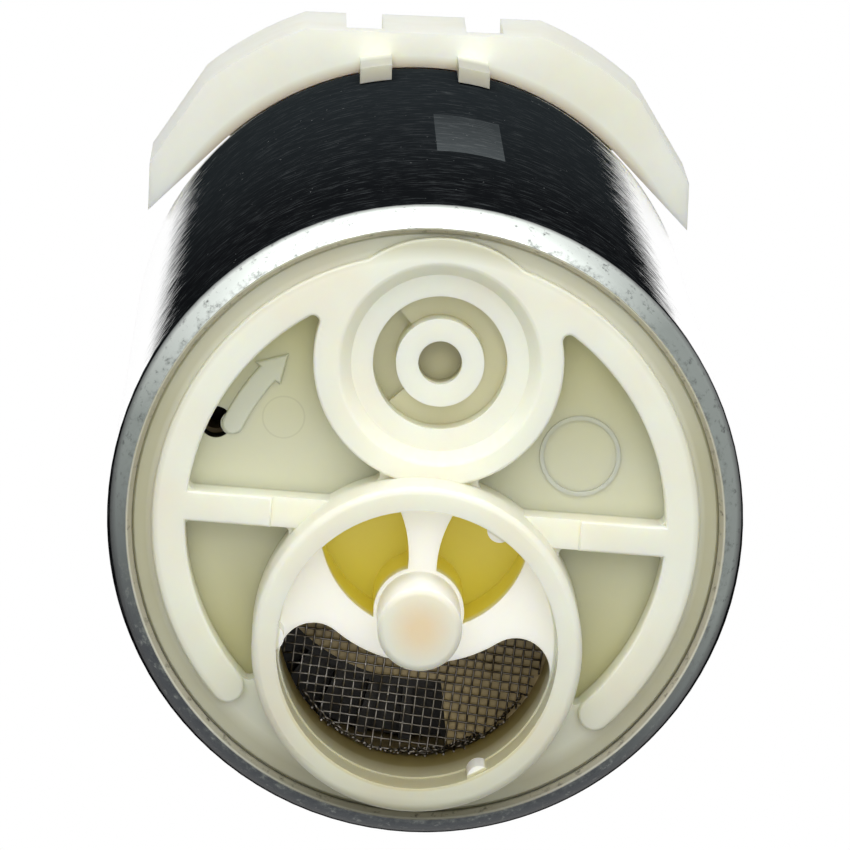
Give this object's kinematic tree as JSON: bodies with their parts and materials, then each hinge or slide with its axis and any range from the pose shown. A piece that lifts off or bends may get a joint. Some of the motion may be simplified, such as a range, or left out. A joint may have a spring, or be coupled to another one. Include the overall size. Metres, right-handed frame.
{
  "type": "electric fuel pump",
  "caption": "In-tank electric turbine fuel pump in a crimped steel shell, with a cupped screened inlet, a barbed outlet, a blade connector and a saddle wing.",
  "frame": {"origin": "on the pump axis, where the shell's straight wall begins at the inlet end", "axes": "+Z along the pump axis from inlet to outlet, +Y towards the inlet boss, +X towards the relief valve"},
  "size_m": [0.038, 0.0407, 0.1077],
  "materials": {
    "coated_steel": "black coated steel tube, worn to bare zinc at the rolled lips",
    "acetal": "natural acetal, moulded",
    "screen_wire": "woven stainless wire",
    "plate_resin": "tan moulded resin",
    "impeller_resin": "dark phenolic",
    "ceramic": "ground ceramic",
    "seal_rubber": "fuel-proof rubber",
    "bronze": "sintered bronze",
    "spring_steel": "spring steel",
    "ground_steel": "ground steel",
    "stamped_steel": "stacked steel sheet",
    "ferrite": "sintered ferrite",
    "fibre": "vulcanised fibre",
    "copper": "copper, lacquered where it is wire",
    "phenolic": "brown phenolic",
    "carbon": "pressed carbon",
    "brass": "stamped brass",
    "tinned_brass": "tinned brass"
  },
  "bodies": {
    "housing": {"shell": "coated_steel", "inlet_cover": "acetal", "inlet_screen": "screen_wire", "inlet_plate": "plate_resin", "thrust_button": "ceramic", "pump_body": "plate_resin", "pump_body_seal": "seal_rubber", "lower_bushing": "bronze", "magnet_left": "ferrite", "magnet_right": "ferrite", "magnet_clip_front": "spring_steel", "magnet_clip_rear": "spring_steel", "upper_bushing": "bronze", "outlet_cover": "acetal", "outlet_cover_seal": "seal_rubber", "check_valve_seat": "brass", "check_valve_spring": "spring_steel", "check_valve_guide": "acetal", "relief_valve_spring": "spring_steel", "relief_valve_plug": "brass", "brush_spring_plus": "spring_steel", "brush_lead_plus": "copper", "brush_cap_plus": "brass", "choke_core_plus": "ferrite", "choke_coil_plus": "copper", "terminal_plus": "tinned_brass", "brush_spring_minus": "spring_steel", "brush_lead_minus": "copper", "brush_cap_minus": "brass", "choke_core_minus": "ferrite", "choke_coil_minus": "copper", "terminal_minus": "tinned_brass"},
    "rotor": {"shaft": "ground_steel", "impeller": "impeller_resin", "lamination_stack": "stamped_steel", "lower_end_insulator": "fibre", "upper_end_insulator": "fibre", "armature_windings": "copper", "commutator_hub": "phenolic", "commutator_segments": "copper", "lower_thrust_washer": "fibre", "upper_thrust_washer": "fibre"},
    "check_valve": {"check_valve_poppet": "acetal"},
    "relief_valve": {"relief_valve_ball": "ground_steel"},
    "brush_plus_body": {"brush_plus": "carbon"},
    "brush_minus_body": {"brush_minus": "carbon"}
  },
  "joints": [
    {"name": "rotor_spin", "type": "hinge", "parent": "housing", "child": "rotor", "pos_m": [0, 0, 0], "axis": [0, 0, 1], "continuous": true},
    {"name": "check_valve_lift", "type": "slide", "parent": "housing", "child": "check_valve", "axis": [0, 0, 1], "range_m": [0, 0.0025], "stiffness_N_per_m": 60, "springref_m": -0.002, "deforming": ["check_valve_spring"]},
    {"name": "relief_valve_lift", "type": "slide", "parent": "housing", "child": "relief_valve", "axis": [0, 0, 1], "range_m": [0, 0.0015], "stiffness_N_per_m": 900, "springref_m": -0.002, "deforming": ["relief_valve_spring"]},
    {"name": "brush_plus_slide", "type": "slide", "parent": "housing", "child": "brush_plus_body", "axis": [0, 0, 1], "range_m": [0, 0.002], "stiffness_N_per_m": 150, "springref_m": -0.003, "deforming": ["brush_spring_plus", "brush_lead_plus"]},
    {"name": "brush_minus_slide", "type": "slide", "parent": "housing", "child": "brush_minus_body", "axis": [0, 0, 1], "range_m": [0, 0.002], "stiffness_N_per_m": 150, "springref_m": -0.003, "deforming": ["brush_spring_minus", "brush_lead_minus"]}
  ]
}
